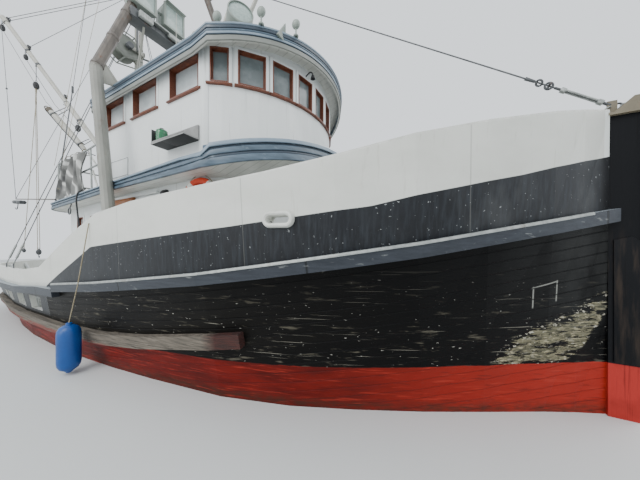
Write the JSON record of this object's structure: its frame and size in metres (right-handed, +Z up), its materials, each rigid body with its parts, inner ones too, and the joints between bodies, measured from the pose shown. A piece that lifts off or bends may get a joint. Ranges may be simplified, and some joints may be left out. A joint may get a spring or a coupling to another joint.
{
  "type": "wooden fishing vessel",
  "caption": "Full-size wooden fishing vessel afloat, with curved-front pilothouse forward, gantry, mast, swinging boom, deck winch, hatch, rudder and propeller.",
  "frame": {"origin": "on the centreline at the waterline, 8.6 m aft of the stem", "axes": "+X to the bow, +Y to port, +Z up"},
  "size_m": [18.5831, 5.858, 13.3],
  "materials": {
    "hull_paint": "worn black gloss paint on carvel planks",
    "white_paint": "warm white marine paint on wood",
    "guard_paint": "blue-grey paint on oak guards",
    "bare_timber": "weathered bare ironbark",
    "bottom_paint": "matt red antifouling",
    "wall_paint": "pale grey gloss paint",
    "blue_trim": "slate blue gloss paint on mouldings",
    "deck_paint": "grey non-slip deck paint",
    "varnish": "brown varnished wood",
    "steel_paint": "grey-beige paint on steel tube",
    "dark_steel": "dark grey paint on steel",
    "galvanised": "dull galvanised steel",
    "bronze": "cast propeller bronze",
    "fender_vinyl": "blue inflatable vinyl",
    "rope": "beige laid rope",
    "buoy_orange": "red-orange lifebuoy cover",
    "lamp_housing": "greenish grey lamp housings"
  },
  "bodies": {
    "root": {"hull": "hull_paint", "keel": "bottom_paint", "stem_post": "hull_paint", "bulwark_forward_starboard": "white_paint", "bulwark_forward_port": "white_paint", "bulwark_aft_starboard": "white_paint", "bulwark_aft_port": "white_paint", "upper_guard_forward_starboard": "guard_paint", "upper_guard_forward_port": "guard_paint", "upper_guard_aft_starboard": "guard_paint", "upper_guard_aft_port": "guard_paint", "lower_guard_starboard": "bare_timber", "lower_guard_port": "bare_timber", "deckhouse_front": "wall_paint", "deckhouse_side_starboard": "wall_paint", "deckhouse_side_port": "wall_paint", "deckhouse_aft_wall": "wall_paint", "boat_deck": "blue_trim", "pilothouse_front": "wall_paint", "pilothouse_side_starboard": "wall_paint", "pilothouse_side_port": "wall_paint", "pilothouse_aft_wall": "wall_paint", "pilothouse_roof": "blue_trim", "gantry_leg_starboard": "steel_paint", "gantry_leg_port": "steel_paint", "gantry_crossbeam": "dark_steel", "gantry_top_beam": "dark_steel", "mast": "steel_paint", "hauling_reel": "lamp_housing", "shrouds": "galvanised", "mast_strut": "steel_paint", "floodlight_1": "lamp_housing", "floodlight_2": "lamp_housing", "floodlight_3": "lamp_housing", "floodlight_4": "lamp_housing", "exhaust_stack": "steel_paint", "boat_deck_rail": "galvanised", "sidelight_starboard": "dark_steel", "sidelight_port": "dark_steel", "lifebuoy": "buoy_orange", "bow_roller": "dark_steel", "anchor": "galvanised", "windlass_frame": "dark_steel", "deck_winch_frame": "dark_steel", "hatch_coaming": "wall_paint", "mooring_bitts_starboard": "dark_steel", "mooring_bitts_port": "dark_steel", "forestay": "galvanised", "fender": "fender_vinyl", "fender_rope": "rope"},
    "sliding_door": {"deckhouse_sliding_door": "varnish"},
    "aft_door": {"deckhouse_aft_door": "varnish"},
    "wheelhouse_door": {"pilothouse_door": "varnish"},
    "gooseneck": {"boom_gooseneck": "dark_steel"},
    "boom_body": {"boom": "steel_paint"},
    "windlass_rotor": {"windlass_drum": "galvanised"},
    "winch_rotor": {"deck_winch_drum": "galvanised"},
    "hatch_lid": {"hatch_cover": "deck_paint"},
    "propeller_rotor": {"propeller": "bronze"},
    "rudder_body": {"rudder": "bottom_paint"}
  },
  "joints": [
    {"name": "sliding_door_slide", "type": "slide", "parent": "root", "child": "sliding_door", "axis": [1, 0, 0], "range_m": [0, 0.8]},
    {"name": "aft_door_hinge", "type": "hinge", "parent": "root", "child": "aft_door", "pos_m": [-2.012, 1.2, 1.8], "axis": [0, 0, 1], "range_deg": [-105, 0]},
    {"name": "pilothouse_door_hinge", "type": "hinge", "parent": "root", "child": "wheelhouse_door", "pos_m": [-0.312, 0.35, 4.4], "axis": [0, 0, 1], "range_deg": [-100, 0]},
    {"name": "boom_swing", "type": "hinge", "parent": "root", "child": "gooseneck", "pos_m": [-3.03, 0, 4.28], "axis": [0, 0, 1], "range_deg": [-98.8, 21.2]},
    {"name": "boom_topping", "type": "hinge", "parent": "gooseneck", "child": "boom_body", "pos_m": [-3.1469, -0.09399, 4.28], "axis": [-0.6266, 0.7793, 0], "range_deg": [-45.9, 19.1]},
    {"name": "windlass_turn", "type": "hinge", "parent": "root", "child": "windlass_rotor", "pos_m": [6.1, 0, 2.512], "axis": [0, 1, 0], "continuous": true},
    {"name": "winch_turn", "type": "hinge", "parent": "root", "child": "winch_rotor", "pos_m": [-4.1, 0, 1.2], "axis": [0, 1, 0], "continuous": true},
    {"name": "hatch_hinge", "type": "hinge", "parent": "root", "child": "hatch_lid", "pos_m": [-4.93, 0, 1.0003], "axis": [0, 1, 0], "range_deg": [0, 100]},
    {"name": "propeller_turn", "type": "hinge", "parent": "root", "child": "propeller_rotor", "pos_m": [-5.7, 0, -1.5], "axis": [1, 0, 0], "continuous": true},
    {"name": "rudder_steer", "type": "hinge", "parent": "root", "child": "rudder_body", "pos_m": [-6.5, 0, -1.3], "axis": [0, 0, 1], "range_deg": [-35, 35]}
  ]
}
